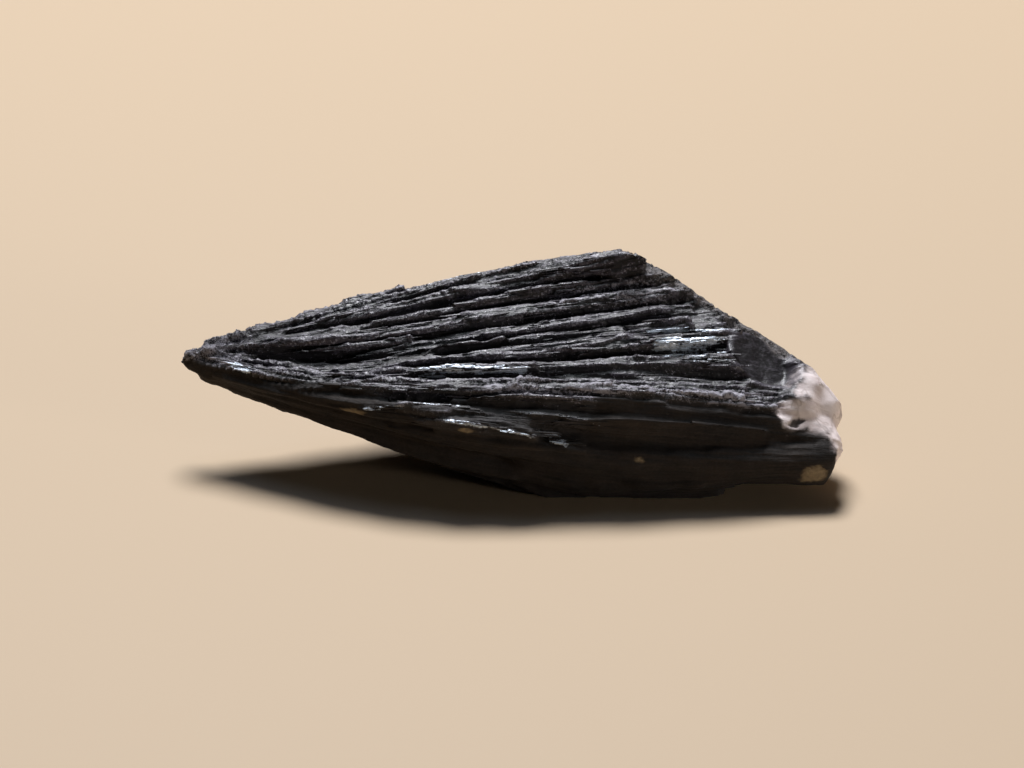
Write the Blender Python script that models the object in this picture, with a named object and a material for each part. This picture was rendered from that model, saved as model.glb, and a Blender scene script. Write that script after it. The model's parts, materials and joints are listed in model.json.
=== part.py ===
# A black kyanite fan: one bundle of blades that grew outwards from a pointed tip.
# The tip is at -X and the broad, broken end is at +X. The bundle lies on a flat facet of its underside,
# at Z = 0, and its widest striated face slopes down towards -Y. The origin is under the middle of its box.
# Every length here is in millimetres. Points are scaled to metres when a mesh is made.

import math
import random

import bmesh
import bpy
import numpy as np
from mathutils import Vector

METRES_PER_MM = 0.001
SEED = 4

# A rail is the line that one side of the bundle follows from the tip to the broad end.
# The rails go round the bundle in order, and each has five points, a quarter of its way apart.
RAILS = (
    # top edge
    ((-20.6, 1.5, 7.2), (-12.5, 3.0, 8.6), (-4.5, 4.6, 10.2), (2.2, 5.4, 11.3), (7.6, 5.4, 11.9)),
    # upper face
    ((-20.7, 1.4, 6.9), (-12.5, 0.6, 7.9), (-4.0, 1.6, 9.0), (4.0, 2.6, 9.8), (11.2, 3.4, 10.4)),
    # middle of the face
    ((-20.9, 1.2, 6.6), (-13.0, -1.0, 6.6), (-5.0, -1.8, 7.7), (5.0, -1.2, 8.5), (14.4, 0.2, 8.6)),
    # shoulder
    ((-20.9, 1.1, 6.3), (-12.5, -3.1, 6.6), (-3.0, -4.4, 7.1), (7.5, -4.6, 6.9), (18.4, -4.0, 5.6)),
    # front overhang
    ((-20.7, 0.9, 5.8), (-12.0, -4.0, 5.6), (-2.0, -6.9, 5.3), (9.0, -7.0, 4.5), (19.4, -6.2, 3.3)),
    # keel
    ((-20.2, 0.9, 4.9), (-12.8, -2.3, 3.4), (-2.0, -4.8, 0.8), (7.0, -5.8, -0.4), (19.4, -6.2, 1.5)),
    # back of the underside
    ((-20.2, 1.5, 5.0), (-12.6, 1.5, 3.9), (-2.0, 1.5, 0.5), (7.0, 2.0, -0.5), (18.0, -1.0, 1.5)),
    # back
    ((-20.5, 1.8, 6.0), (-12.0, 4.3, 6.2), (-3.0, 6.2, 6.0), (7.0, 6.0, 5.2), (19.3, 1.2, 4.8)),
    # back rim
    ((-20.5, 1.8, 6.6), (-12.0, 4.2, 7.6), (-4.0, 6.2, 8.4), (5.0, 6.4, 8.9), (15.9, 3.4, 8.2)),
)

# The line that the middle of the bundle follows, from the tip to the middle of the broken end.
AXIS = ((-21.1, 1.2, 6.5), (-12.3, 0.4, 6.2), (-3.2, 0.3, 5.8), (7.5, -0.6, 5.2), (20.2, -1.6, 4.4))

# The core carries the blades and is what shows at the bottom of the grooves between them.
CORE_INWARD = 0.14
CORE_RINGS = 14
CORE_SIDES = 27
CORE_START = 0.06
CORE_STOP = 0.98

# Blades of the face, the shoulder and the belly. Each has its place round the bundle at its start and at its
# stop, counted in rails, how far along the rail it starts and stops, its width and how far it stands out.
FACE_BLADES = (
    (8.75, 8.80, 0.06, 1.00, 1.7, 0.05),
    (0.20, 0.15, 0.03, 1.00, 1.3, 0.10),
    (0.50, 0.45, 0.10, 0.99, 1.3, 0.05),
    (1.00, 0.72, 0.16, 0.72, 1.1, 0.20),
    (1.00, 1.02, 0.05, 1.00, 1.5, 0.20),
    (1.40, 1.38, 0.45, 0.97, 1.2, -0.15),
    (1.72, 1.70, 0.40, 0.94, 1.1, -0.05),
    (2.00, 2.02, 0.04, 1.00, 1.4, 0.30),
    (2.50, 2.42, 0.10, 0.98, 1.5, 0.15),
    (2.95, 2.80, 0.02, 0.93, 1.4, 0.20),
    (3.20, 3.15, 0.15, 0.90, 1.5, 0.15),
    (3.62, 3.48, 0.22, 0.97, 1.5, 0.10),
    (4.00, 4.00, 0.05, 0.58, 1.5, 0.25),
    (4.40, 4.38, 0.12, 0.84, 1.5, 0.05),
    (4.75, 4.80, 0.05, 0.90, 1.5, 0.05),
    (5.00, 5.05, 0.31, 0.88, 1.5, 0.25),
)

# The thick rod at the lower front of the broad end, in the same terms.
LOWER_ROD = (4.45, 4.42, 0.55, 1.015, 2.7, 0.15)

# Blades of the underside and the back, which are spread evenly with a little unevenness.
HIDDEN_BLADE_SPANS = ((5.30, 5.95, 4), (6.10, 6.95, 5), (7.15, 8.50, 4))
HIDDEN_BLADE_WIDTH = 1.7

# Blades inside the bundle, whose ends make the steps of the broken end.
HEART_BLADES = 13
HEART_WIDTH = 2.6

# Splinters lie on the blades all round the bundle.
SPLINTERS = 46
SPLINTER_WIDTH = (0.5, 1.0)
SPLINTER_LENGTH = (0.12, 0.34)

# A blade that starts further along than this comes out of the blades below it.
SUNK_FROM = 0.12
SUNK_BY = 0.6

# A blade's stations along its length, how deep it reaches into the core, how wide it is at the tip as a share
# of its full width, and the ranges of its sideways tilt, of its crest's place and of its slanting end.
BLADE_STATIONS = 5
BLADE_DEPTH = 1.5
TIP_WIDTH_SHARE = 0.30
TILT = (-0.22, 0.22)
CREST = (-0.25, 0.05)
SLANT = (-1.0, 1.0)
UNEVEN_WIDTH = (0.92, 1.08)
UNEVEN_HEIGHT = 0.12

# Uneven lumps, each with its centre and its reach along X, Y and Z: the pale ones at the broad end, the ledge
# along the slanting end above them, the nose of the tip and the crust behind it.
LUMPS = (
    ((18.4, -1.8, 3.9), (2.8, 2.6, 2.2)),
    ((17.0, -3.0, 4.6), (2.6, 1.7, 1.7)),
    ((17.6, 0.2, 5.2), (2.3, 2.0, 2.0)),
    ((9.0, 4.3, 10.5), (2.0, 1.2, 0.8)),
    ((11.4, 3.9, 9.5), (2.2, 1.3, 0.85)),
    ((13.8, 3.1, 8.4), (2.2, 1.4, 0.9)),
    ((16.2, 1.8, 6.9), (2.0, 1.5, 1.0)),
    ((-20.0, 1.3, 6.2), (1.2, 0.8, 0.9)),
    ((-18.9, 1.1, 6.6), (1.7, 0.7, 0.8)),
    ((-17.6, 0.3, 6.5), (1.6, 0.6, 0.7)),
    ((-18.3, 0.6, 5.35), (2.0, 0.8, 0.8)),
)
LUMP_POINTS = 22

GROUND_SIZE = 80.0

# How far apart the points are from which a direction on the bundle is read.
ALONG_STEP = 0.01
AROUND_STEP = 0.05


def cubic(p0, p1, p2, p3, f):
    """A smooth curve from p1 to p2, where f goes from 0 to 1."""
    return 0.5 * (2 * p1 + (p2 - p0) * f + (2 * p0 - 5 * p1 + 4 * p2 - p3) * f ** 2
                  + (3 * p1 - p0 - 3 * p2 + p3) * f ** 3)


def line_at(line, along):
    """The point of a rail or of the axis, where along is 0 at the tip and 1 at the broad end."""
    points = [np.array(point) for point in line]
    points = [2 * points[0] - points[1], *points, 2 * points[-1] - points[-2]]
    place = along * (len(line) - 1)
    step = min(max(math.floor(place), 0), len(line) - 2)
    return cubic(*points[step:step + 4], place - step)


def point_at(around, along, inward=0.0):
    """A point of the bundle: around counts the rails, and inward is 0 at its outer form and 1 at its axis."""
    rail = math.floor(around)
    near = [line_at(RAILS[(rail + step) % len(RAILS)], along) for step in (-1, 0, 1, 2)]
    return cubic(*near, around - rail) * (1 - inward) + line_at(AXIS, along) * inward


def frame_at(around, along, inward=0.0):
    """The point there, with its lengthwise, sideways and outward directions."""
    lengthwise = point_at(around, along + ALONG_STEP, inward) - point_at(around, along - ALONG_STEP, inward)
    sideways = point_at(around + AROUND_STEP, along, inward) - point_at(around - AROUND_STEP, along, inward)
    lengthwise /= np.linalg.norm(lengthwise)
    outward = np.cross(sideways, lengthwise)
    outward /= np.linalg.norm(outward)
    return point_at(around, along, inward), lengthwise, np.cross(lengthwise, outward), outward


def closed_data(name, mesh):
    """Mesh data from a closed bmesh, in triangles that face outwards."""
    bmesh.ops.triangulate(mesh, faces=mesh.faces)
    bmesh.ops.recalc_face_normals(mesh, faces=mesh.faces)
    if mesh.calc_volume(signed=True) < 0:
        bmesh.ops.reverse_faces(mesh, faces=mesh.faces)
    data = bpy.data.meshes.new(name)
    mesh.to_mesh(data)
    mesh.free()
    return data


def lofted_data(name, rings, first_cap=None, last_cap=None):
    """Mesh data through rings of points. An end with a cap point is a cone, and one without is flat."""
    mesh = bmesh.new()
    loops = [[mesh.verts.new(Vector(point) * METRES_PER_MM) for point in ring] for ring in rings]
    count = len(loops[0])
    for here, there in zip(loops, loops[1:]):
        for side in range(count):
            nearby = (side + 1) % count
            mesh.faces.new((here[side], here[nearby], there[nearby], there[side]))
    for loop, cap in ((loops[0], first_cap), (loops[-1], last_cap)):
        if cap is None:
            mesh.faces.new(loop)
            continue
        apex = mesh.verts.new(Vector(cap) * METRES_PER_MM)
        for side in range(count):
            mesh.faces.new((loop[side], loop[(side + 1) % count], apex))
    return closed_data(name, mesh)


def core_data():
    """The inner body of the bundle: its outer form, drawn in so that the blades stand out of it."""
    rings = []
    for ring in range(CORE_RINGS):
        along = CORE_START + (CORE_STOP - CORE_START) * ring / (CORE_RINGS - 1)
        sides = [side * len(RAILS) / CORE_SIDES for side in range(CORE_SIDES)]
        rings.append([point_at(around, along, CORE_INWARD) for around in sides])
    return lofted_data("core", rings, AXIS[0], AXIS[-1])


def blade_data(name, rng, start_around, stop_around, start, stop, width, height, inward=0.0):
    """One blade: a flattened, tapering prism that follows the outer form, with a slanting end."""
    tilt = rng.uniform(*TILT)
    crest = rng.uniform(*CREST)
    slant = rng.uniform(*SLANT)
    rings = []
    for station in range(BLADE_STATIONS):
        part = station / (BLADE_STATIONS - 1)
        along = start + (stop - start) * part
        around = start_around + (stop_around - start_around) * part
        point, lengthwise, sideways, outward = frame_at(around, along, inward)
        share = TIP_WIDTH_SHARE + (1 - TIP_WIDTH_SHARE) * min(1.0, 1.5 * along)
        here = width * share * rng.uniform(*UNEVEN_WIDTH)
        top = height + UNEVEN_HEIGHT * rng.uniform(-1, 1)
        if station == 0 and start > SUNK_FROM:
            top -= SUNK_BY
        deep = BLADE_DEPTH * min(1.0, 0.35 + 1.6 * along)
        # across, as a share of the width, and out
        profile = (
            (-0.46, -deep),
            (-0.50, -0.45 + tilt),
            (crest - 0.05, top + 0.25 * tilt),
            (crest + 0.35, top - 0.12 - 0.25 * tilt),
            (0.50, -0.55 - tilt),
            (0.44, -deep),
        )
        leans = slant if station == BLADE_STATIONS - 1 else 0.0
        rings.append([point + sideways * here * across + outward * out + lengthwise * leans * across
                      for across, out in profile])
    return lofted_data(name, rings)


def hidden_blades(rng):
    """Places of the blades on the underside and the back, in the same terms as FACE_BLADES."""
    for first, last, count in HIDDEN_BLADE_SPANS:
        for number in range(count):
            around = first + (last - first) * number / (count - 1)
            yield (around, around + rng.uniform(-0.06, 0.06), rng.uniform(0.03, 0.25), rng.uniform(0.84, 1.0),
                   HIDDEN_BLADE_WIDTH * rng.uniform(0.85, 1.15), rng.uniform(-0.05, 0.2))


def splinters(rng):
    """Places of the splinters, in the same terms, spread evenly round the bundle."""
    for number in range(SPLINTERS):
        around = (number + rng.uniform(0, 1)) * len(RAILS) / SPLINTERS
        length = rng.uniform(*SPLINTER_LENGTH)
        start = rng.uniform(0.08, 0.97 - length)
        yield (around, around + rng.uniform(-0.05, 0.05), start, start + length,
               rng.uniform(*SPLINTER_WIDTH), rng.uniform(0.1, 0.35))


def heart_blades(rng):
    """Places of the blades inside the bundle, in the same terms, with how far inward they are."""
    for number in range(HEART_BLADES):
        around = number * len(RAILS) / HEART_BLADES
        yield (around, around, 0.6, rng.uniform(0.93, 1.0), HEART_WIDTH * rng.uniform(0.7, 1.1),
               rng.uniform(-0.3, 0.2), rng.uniform(0.4, 0.8))


def lump_data(name, rng, centre, reaches):
    """An angular lump: the hull of points scattered over an ellipsoid."""
    mesh = bmesh.new()
    for _ in range(LUMP_POINTS):
        direction = Vector([rng.gauss(0, 1) for _ in range(3)]).normalized()
        offset = Vector([reach * part for reach, part in zip(reaches, direction)])
        mesh.verts.new((Vector(centre) + offset) * METRES_PER_MM)
    hull = bmesh.ops.convex_hull(mesh, input=mesh.verts)
    bmesh.ops.delete(mesh, geom=hull["geom_interior"] + hull["geom_unused"], context="VERTS")
    return closed_data(name, mesh)


def ground_data():
    """A block whose top is at Z = 0, which cuts the rest facet."""
    mesh = bmesh.new()
    bmesh.ops.create_cube(mesh, size=GROUND_SIZE * METRES_PER_MM)
    bmesh.ops.translate(mesh, verts=mesh.verts, vec=(0, 0, -GROUND_SIZE / 2 * METRES_PER_MM))
    return closed_data("ground", mesh)


def kyanite_material():
    material = bpy.data.materials.new("kyanite")
    material.use_nodes = True
    shader = material.node_tree.nodes["Principled BSDF"]
    shader.inputs["Base Color"].default_value = (0.022, 0.022, 0.024, 1.0)
    shader.inputs["Roughness"].default_value = 0.45
    shader.inputs["Metallic"].default_value = 0.0
    return material


def add_guide(data, collection):
    """A shape that only takes part in a Boolean."""
    guide = bpy.data.objects.new(data.name, data)
    guide.hide_render = True
    guide.display_type = "WIRE"
    collection.objects.link(guide)
    return guide


def add_boolean(target, operation, **operand):
    modifier = target.modifiers.new(operation.lower(), "BOOLEAN")
    modifier.operation = operation
    modifier.solver = "EXACT"
    for setting, value in operand.items():
        setattr(modifier, setting, value)


def shell_of(face, seen):
    """The faces joined to one face, edge by edge."""
    shell = [face]
    seen.add(face)
    for member in shell:
        for edge in member.edges:
            for neighbour in edge.link_faces:
                if neighbour not in seen:
                    seen.add(neighbour)
                    shell.append(neighbour)
    return shell


def centre_over_origin(mesh):
    """Moves the mesh sideways until the middle of its box is over the origin."""
    for axis in (0, 1):
        places = [vertex.co[axis] for vertex in mesh.verts]
        middle = (min(places) + max(places)) / 2
        for vertex in mesh.verts:
            vertex.co[axis] -= middle


def keep_outer_skin(target):
    """Gives the object the mesh that its modifiers make, without the tiny closed pockets between blades."""
    evaluated = target.evaluated_get(bpy.context.evaluated_depsgraph_get())
    mesh = bmesh.new()
    mesh.from_mesh(evaluated.to_mesh())
    evaluated.to_mesh_clear()
    seen = set()
    shells = [shell_of(face, seen) for face in mesh.faces if face not in seen]
    shells.sort(key=len)
    for shell in shells[:-1]:
        bmesh.ops.delete(mesh, geom=shell, context="FACES")
    loose = [vertex for vertex in mesh.verts if not vertex.link_faces]
    bmesh.ops.delete(mesh, geom=loose, context="VERTS")
    centre_over_origin(mesh)
    target.modifiers.clear()
    mesh.to_mesh(target.data)
    mesh.free()


def add_blades(collection, rng):
    """Adds every shape that is joined to the core."""
    places = (*FACE_BLADES, LOWER_ROD, *hidden_blades(rng), *splinters(rng), *heart_blades(rng))
    for number, place in enumerate(places):
        add_guide(blade_data(f"blade_{number + 1:03d}", rng, *place), collection)
    for number, place in enumerate(LUMPS):
        add_guide(lump_data(f"lump_{number + 1}", rng, *place), collection)


def main():
    for item in list(bpy.data.objects):
        bpy.data.objects.remove(item, do_unlink=True)
    scene_collection = bpy.context.scene.collection
    blades = bpy.data.collections.new("blades")
    scene_collection.children.link(blades)
    add_blades(blades, random.Random(SEED))

    fan = bpy.data.objects.new("kyanite_fan", core_data())
    scene_collection.objects.link(fan)
    fan.data.materials.append(kyanite_material())
    add_boolean(fan, "UNION", operand_type="COLLECTION", collection=blades)
    add_boolean(fan, "DIFFERENCE", object=add_guide(ground_data(), scene_collection))
    keep_outer_skin(fan)


main()
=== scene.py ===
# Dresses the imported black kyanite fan: its blades, striations, crust and broken end, on a plain pale floor.
import json
import math

import bmesh
import bpy
import numpy as np
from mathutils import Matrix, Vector, kdtree, noise

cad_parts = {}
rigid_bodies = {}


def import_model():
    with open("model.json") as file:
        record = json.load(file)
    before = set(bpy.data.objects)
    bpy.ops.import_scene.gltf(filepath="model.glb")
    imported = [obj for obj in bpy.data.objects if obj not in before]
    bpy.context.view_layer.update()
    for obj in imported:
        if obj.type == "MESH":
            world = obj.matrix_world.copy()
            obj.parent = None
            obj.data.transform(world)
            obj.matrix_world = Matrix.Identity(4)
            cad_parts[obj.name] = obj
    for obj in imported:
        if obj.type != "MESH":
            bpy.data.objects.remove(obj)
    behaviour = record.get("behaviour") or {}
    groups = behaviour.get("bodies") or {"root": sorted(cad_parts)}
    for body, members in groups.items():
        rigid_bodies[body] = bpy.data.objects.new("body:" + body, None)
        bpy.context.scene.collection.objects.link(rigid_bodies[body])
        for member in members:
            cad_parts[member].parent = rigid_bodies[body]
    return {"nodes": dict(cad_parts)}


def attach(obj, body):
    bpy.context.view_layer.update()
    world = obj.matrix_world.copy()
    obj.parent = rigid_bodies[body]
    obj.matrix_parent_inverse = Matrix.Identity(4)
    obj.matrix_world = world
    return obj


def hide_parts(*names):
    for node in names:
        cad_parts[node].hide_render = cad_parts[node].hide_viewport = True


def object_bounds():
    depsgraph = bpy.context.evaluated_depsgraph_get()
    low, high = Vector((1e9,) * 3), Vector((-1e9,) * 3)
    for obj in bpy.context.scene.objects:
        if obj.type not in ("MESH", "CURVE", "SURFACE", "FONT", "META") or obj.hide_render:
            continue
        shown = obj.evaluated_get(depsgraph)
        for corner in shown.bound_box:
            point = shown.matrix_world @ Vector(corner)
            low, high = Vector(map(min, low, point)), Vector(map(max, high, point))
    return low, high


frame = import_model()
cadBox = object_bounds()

mm = 0.001

# The form that the blades follow, in millimetres: nine lines from the fan's tip to its broad end. They are
# its top edge, upper face, middle, shoulder, overhang, keel, underside, back and back rim, in that order.
fanForm = {
    "rails": [
        [(-20.6, 1.5, 7.2), (-12.5, 3.0, 8.6), (-4.5, 4.6, 10.2), (2.2, 5.4, 11.3), (7.6, 5.4, 11.9)],
        [(-20.7, 1.4, 6.9), (-12.5, 0.6, 7.9), (-4.0, 1.6, 9.0), (4.0, 2.6, 9.8), (11.2, 3.4, 10.4)],
        [(-20.9, 1.2, 6.6), (-13.0, -1.0, 6.6), (-5.0, -1.8, 7.7), (5.0, -1.2, 8.5), (14.4, 0.2, 8.6)],
        [(-20.9, 1.1, 6.3), (-12.5, -3.1, 6.6), (-3.0, -4.4, 7.1), (7.5, -4.6, 6.9), (18.4, -4.0, 5.6)],
        [(-20.7, 0.9, 5.8), (-12.0, -4.0, 5.6), (-2.0, -6.9, 5.3), (9.0, -7.0, 4.5), (19.4, -6.2, 3.3)],
        [(-20.2, 0.9, 4.9), (-12.8, -2.3, 3.4), (-2.0, -4.8, 0.8), (7.0, -5.8, -0.4), (19.4, -6.2, 1.5)],
        [(-20.2, 1.5, 5.0), (-12.6, 1.5, 3.9), (-2.0, 1.5, 0.5), (7.0, 2.0, -0.5), (18.0, -1.0, 1.5)],
        [(-20.5, 1.8, 6.0), (-12.0, 4.3, 6.2), (-3.0, 6.2, 6.0), (7.0, 6.0, 5.2), (19.3, 1.2, 4.8)],
        [(-20.5, 1.8, 6.6), (-12.0, 4.2, 7.6), (-4.0, 6.2, 8.4), (5.0, 6.4, 8.9), (15.9, 3.4, 8.2)],
    ],
    "shift": (-0.0249, 0.2021, 0.0),  # centres the fan over the origin
    "length": 42.3,
    "overshoot": 0.03,  # how far the form goes on past both ends, as a share of its length
    "alongSteps": 80,
    "stepsPerRail": 24,
}


def curveThrough(p0, p1, p2, p3, f):
    # a smooth curve through four points in a row, at the share f of the way between the middle two
    return 0.5 * (2 * p1 + (p2 - p0) * f + (2 * p0 - 5 * p1 + 4 * p2 - p3) * f ** 2
                  + (3 * p1 - p0 - 3 * p2 + p3) * f ** 3)


def alongLine(line, along):
    # the points at those shares of the way along a smooth line
    points = np.array(line, float)
    points = np.vstack([2 * points[0] - points[1], points, 2 * points[-1] - points[-2]])
    place = along * (len(line) - 1)
    step = np.clip(np.floor(place).astype(int), 0, len(line) - 2)
    near = [points[step + part] for part in range(4)]
    return curveThrough(*near, (place - step)[:, None])


def smoothStep(value, low, high):
    share = np.clip((value - low) / (high - low), 0, 1)
    return share * share * (3 - 2 * share)


def unit(vectors):
    return vectors / np.maximum(np.linalg.norm(vectors, axis=1), 1e-12)[:, None]


class Flow:
    # Says for any point how far along and how far round the fan it is, and which way its blades run.
    def __init__(self, form):
        self.alongs = np.linspace(-form["overshoot"], 1 + form["overshoot"], form["alongSteps"])
        self.turns = len(form["rails"])
        self.arounds = np.arange(0, self.turns, 1 / form["stepsPerRail"])
        rails = np.stack([alongLine(rail, self.alongs) for rail in form["rails"]])
        rail = np.floor(self.arounds).astype(int)
        near = [rails[(rail + step) % self.turns] for step in (-1, 0, 1, 2)]
        grid = curveThrough(*near, (self.arounds - rail)[:, None, None]) + np.array(form["shift"])
        sideStep = np.roll(grid, -1, 0) - np.roll(grid, 1, 0)
        self.girth = np.linalg.norm(sideStep, axis=2).sum(0) / 2
        self.sideways = (sideStep * form["stepsPerRail"] / 2).reshape(-1, 3)
        self.lengthwise = np.gradient(grid, self.alongs, axis=1).reshape(-1, 3)
        self.points = grid.reshape(-1, 3)
        self.tree = kdtree.KDTree(len(self.points))
        for index, point in enumerate(self.points.tolist()):
            self.tree.insert(point, index)
        self.tree.balance()

    def at(self, points):
        # from the nearest point of the form, lengthwise and sideways as far as the offset says
        nearest = np.array([self.tree.find(point)[1] for point in points.tolist()])
        offset = points - self.points[nearest]
        along, side = self.lengthwise[nearest], self.sideways[nearest]
        alongSquare, sideSquare = (along * along).sum(1), (side * side).sum(1)
        slant = (along * side).sum(1)
        offAlong, offSide = (offset * along).sum(1), (offset * side).sum(1)
        whole = alongSquare * sideSquare - slant * slant
        alongStep = self.alongs[1] - self.alongs[0]
        sideStep = self.arounds[1] - self.arounds[0]
        moreAlong = np.clip((offAlong * sideSquare - offSide * slant) / whole, -alongStep, alongStep)
        moreAround = np.clip((offSide * alongSquare - offAlong * slant) / whole, -sideStep, sideStep)
        placeAlong = self.alongs[nearest % len(self.alongs)] + moreAlong
        placeAround = self.arounds[nearest // len(self.alongs)] + moreAround
        return {
            "along": placeAlong,
            "around": placeAround,
            "angle": placeAround * 2 * math.pi / self.turns,
            "grain": unit(along),
            "girth": np.interp(placeAlong, self.alongs, self.girth),
        }


fanFlow = Flow(fanForm)
print("fan form ready:", len(fanFlow.points), "points")


def noiseAt(points, size, seed, octaves=1):
    # soft noise from about -1 to 1 whose features are that size
    places = (points / size + seed * 17.31).tolist()  # every seed reads another stretch of the noise
    if octaves == 1:
        return np.array([noise.noise(spot) for spot in places])
    return np.array([noise.fractal(spot, 0.8, 2.1, octaves) for spot in places])


def streaksAt(flow, width, length, seed):
    # noise drawn out along the blades, about as wide everywhere, because the lines double as the fan widens
    level = np.log2(np.maximum(flow["girth"] / width, 1.0))
    value = np.zeros(len(level))
    for step in range(int(level.min()), int(level.max()) + 2):
        weight = np.clip(1 - np.abs(level - step), 0, 1)
        chosen = weight > 0
        angle = flow["angle"][chosen]
        radius = 2 ** step / (2 * math.pi)
        apart = 7.7 * step  # every level reads another stretch of the noise
        places = np.column_stack([np.cos(angle) * radius, np.sin(angle) * radius,
                                  flow["along"][chosen] * fanForm["length"] / length + apart])
        value[chosen] += weight[chosen] * noiseAt(places, 1.0, seed)
    return value


def turnFrom(around, middle):
    # how many rails away it is, the shorter way round
    return np.abs((around - middle + fanFlow.turns / 2) % fanFlow.turns - fanFlow.turns / 2)


def smoothed(values, edges, rounds):
    # every vertex goes half way to its neighbours' mean, so many rounds
    count = len(values)
    ends = np.concatenate([edges[:, 0], edges[:, 1]])
    others = np.concatenate([edges[:, 1], edges[:, 0]])
    share = np.maximum(np.bincount(ends, minlength=count), 1)
    columns = values.reshape(count, -1).T.copy()
    for _ in range(rounds):
        columns = np.array([0.5 * column + 0.5 * np.bincount(ends, column[others], count) / share
                            for column in columns])
    return columns.T.reshape(values.shape)


def valuesOf(items, name, width, kind=float):
    values = np.empty(len(items) * width, kind)
    items.foreach_get(name, values)
    return values.reshape(-1, width)


def pointsOf(mesh):
    return valuesOf(mesh.vertices, "co", 3) / mm


def normalsOf(mesh):
    return valuesOf(mesh.vertex_normals, "vector", 3)


def setPoints(mesh, points):
    mesh.vertices.foreach_set("co", (points * mm).ravel())
    mesh.update()


def keep(mesh, name, values):
    # stores a number or a vector for each vertex, for the nodes to read
    kind = "FLOAT_VECTOR" if values.ndim == 2 else "FLOAT"
    attribute = mesh.attributes.get(name) or mesh.attributes.new(name, kind, "POINT")
    attribute.data.foreach_set("vector" if values.ndim == 2 else "value", values.astype(np.float32).ravel())


def trianglesOf(mesh):
    return sum(len(face.vertices) - 2 for face in mesh.polygons)


def addObject(name, data):
    made = bpy.data.objects.new(name, data)
    bpy.context.scene.collection.objects.link(made)
    return made


def newMaterial(name):
    # a material and its shader
    material = bpy.data.materials.new(name)
    material.use_nodes = True
    return material, material.node_tree.nodes["Principled BSDF"]


# Node trees are written as expressions. A Sock is one node's output, and arithmetic on it adds Math nodes.
class Sock:
    def __init__(self, graph, socket):
        self.graph = graph
        self.socket = socket

    def maths(self, operation, *values, clamp=False):
        settings = {"operation": operation, "use_clamp": clamp}
        return self.graph.add("ShaderNodeMath", settings, dict(enumerate(values)))

    def __add__(self, other):
        return self.maths("ADD", self, other)

    def __sub__(self, other):
        return self.maths("SUBTRACT", self, other)

    def __rsub__(self, other):
        return self.maths("SUBTRACT", other, self)

    def __mul__(self, other):
        return self.maths("MULTIPLY", self, other)

    __radd__ = __add__
    __rmul__ = __mul__

    def least(self, other):
        return self.maths("MINIMUM", self, other)

    def most(self, other):
        return self.maths("MAXIMUM", self, other)

    def rise(self, low, high):
        # 0 below low, 1 above high, smooth between, and the other way round if high is the lower
        return self.graph.add("ShaderNodeMapRange", {"interpolation_type": "SMOOTHSTEP"},
                              {"Value": self, "From Min": low, "From Max": high})

    def clamped(self):
        return self.maths("ADD", self, 0.0, clamp=True)


class Graph:
    def __init__(self, tree):
        self.tree = tree

    def add(self, kind, settings=None, sockets=None, output=0):
        node = self.tree.nodes.new(kind)
        for name, value in (settings or {}).items():
            setattr(node, name, value)
        for name, value in (sockets or {}).items():
            self.feed(node.inputs[name], value)
        return Sock(self, node.outputs[output])

    def feed(self, socket, value):
        if isinstance(value, Sock):
            self.tree.links.new(value.socket, socket)
        elif isinstance(value, list):
            for part in value:
                self.tree.links.new(part.socket, socket)
        else:
            socket.default_value = value

    def mixed(self, factor, first, second):
        return self.add("ShaderNodeMix", {"data_type": "RGBA"}, {0: factor, 6: first, 7: second}, output=2)

    def parts(self, vector):
        node = self.add("ShaderNodeSeparateXYZ", None, {0: vector}).socket.node
        return [Sock(self, socket) for socket in node.outputs]

    def attribute(self, name):
        return self.add("ShaderNodeAttribute", {"attribute_name": name}, output=1)

    def vector(self, operation, *values, **sockets):
        given = {**dict(enumerate(values)), **sockets}
        return self.add("ShaderNodeVectorMath", {"operation": operation}, given)

    def noise(self, place, scale, detail=2.0, roughness=0.5):
        return self.add("ShaderNodeTexNoise", None,
                        {"Vector": place, "Scale": scale, "Detail": detail, "Roughness": roughness})


# Geometry Nodes that strew blades or crumbs over a surface.
def unevenBy(graph, style, number):
    # a random offset for each corner, another for every shape
    return graph.add("FunctionNodeRandomValue", {"data_type": "FLOAT_VECTOR"}, {
        0: tuple(-reach for reach in style["uneven"]), 1: style["uneven"], "Seed": style["seed"] + number})


def readyShape(graph, shape, offset):
    # one shape with its corners moved and its faces flat
    shape = graph.add("GeometryNodeSetPosition", None, {"Geometry": shape, "Offset": offset})
    shape = graph.add("GeometryNodeSetShadeSmooth", None, {"Geometry": shape, "Shade Smooth": False})
    return graph.add("GeometryNodeGeometryToInstance", None, {"Geometry": shape})


def bladeShapes(graph, style):
    # tapering prisms along X, one unit long, wide and thick, each a little uneven
    shapes = []
    for number in range(style["shapes"]):
        prism = graph.add("GeometryNodeMeshCone", {"fill_type": "NGON"}, {
            "Vertices": style["sides"], "Side Segments": style["segments"],
            "Radius Top": style["topRadius"], "Radius Bottom": 0.5, "Depth": 1.0})
        prism = graph.add("GeometryNodeTransform", None, {
            "Geometry": prism, "Translation": (-0.5, 0, 0), "Rotation": (0, math.pi / 2, 0)})
        prism = graph.add("GeometryNodeTransform", None, {
            "Geometry": prism, "Rotation": (style["lay"], 0, 0)})
        side = graph.parts(graph.add("GeometryNodeInputPosition"))[1]
        lean = style["slant"] * (number - (style["shapes"] - 1) / 2)
        slant = graph.add("ShaderNodeCombineXYZ", None, {"X": side * lean})
        offset = graph.vector("ADD", unevenBy(graph, style, number), slant)
        shapes.append(readyShape(graph, prism, offset))
    return shapes


def crumbShapes(graph, style):
    shapes = []
    for number in range(style["shapes"]):
        crumb = graph.add("GeometryNodeMeshIcoSphere", None, {"Radius": 0.5, "Subdivisions": 1})
        shapes.append(readyShape(graph, crumb, unevenBy(graph, style, number)))
    return shapes


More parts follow.
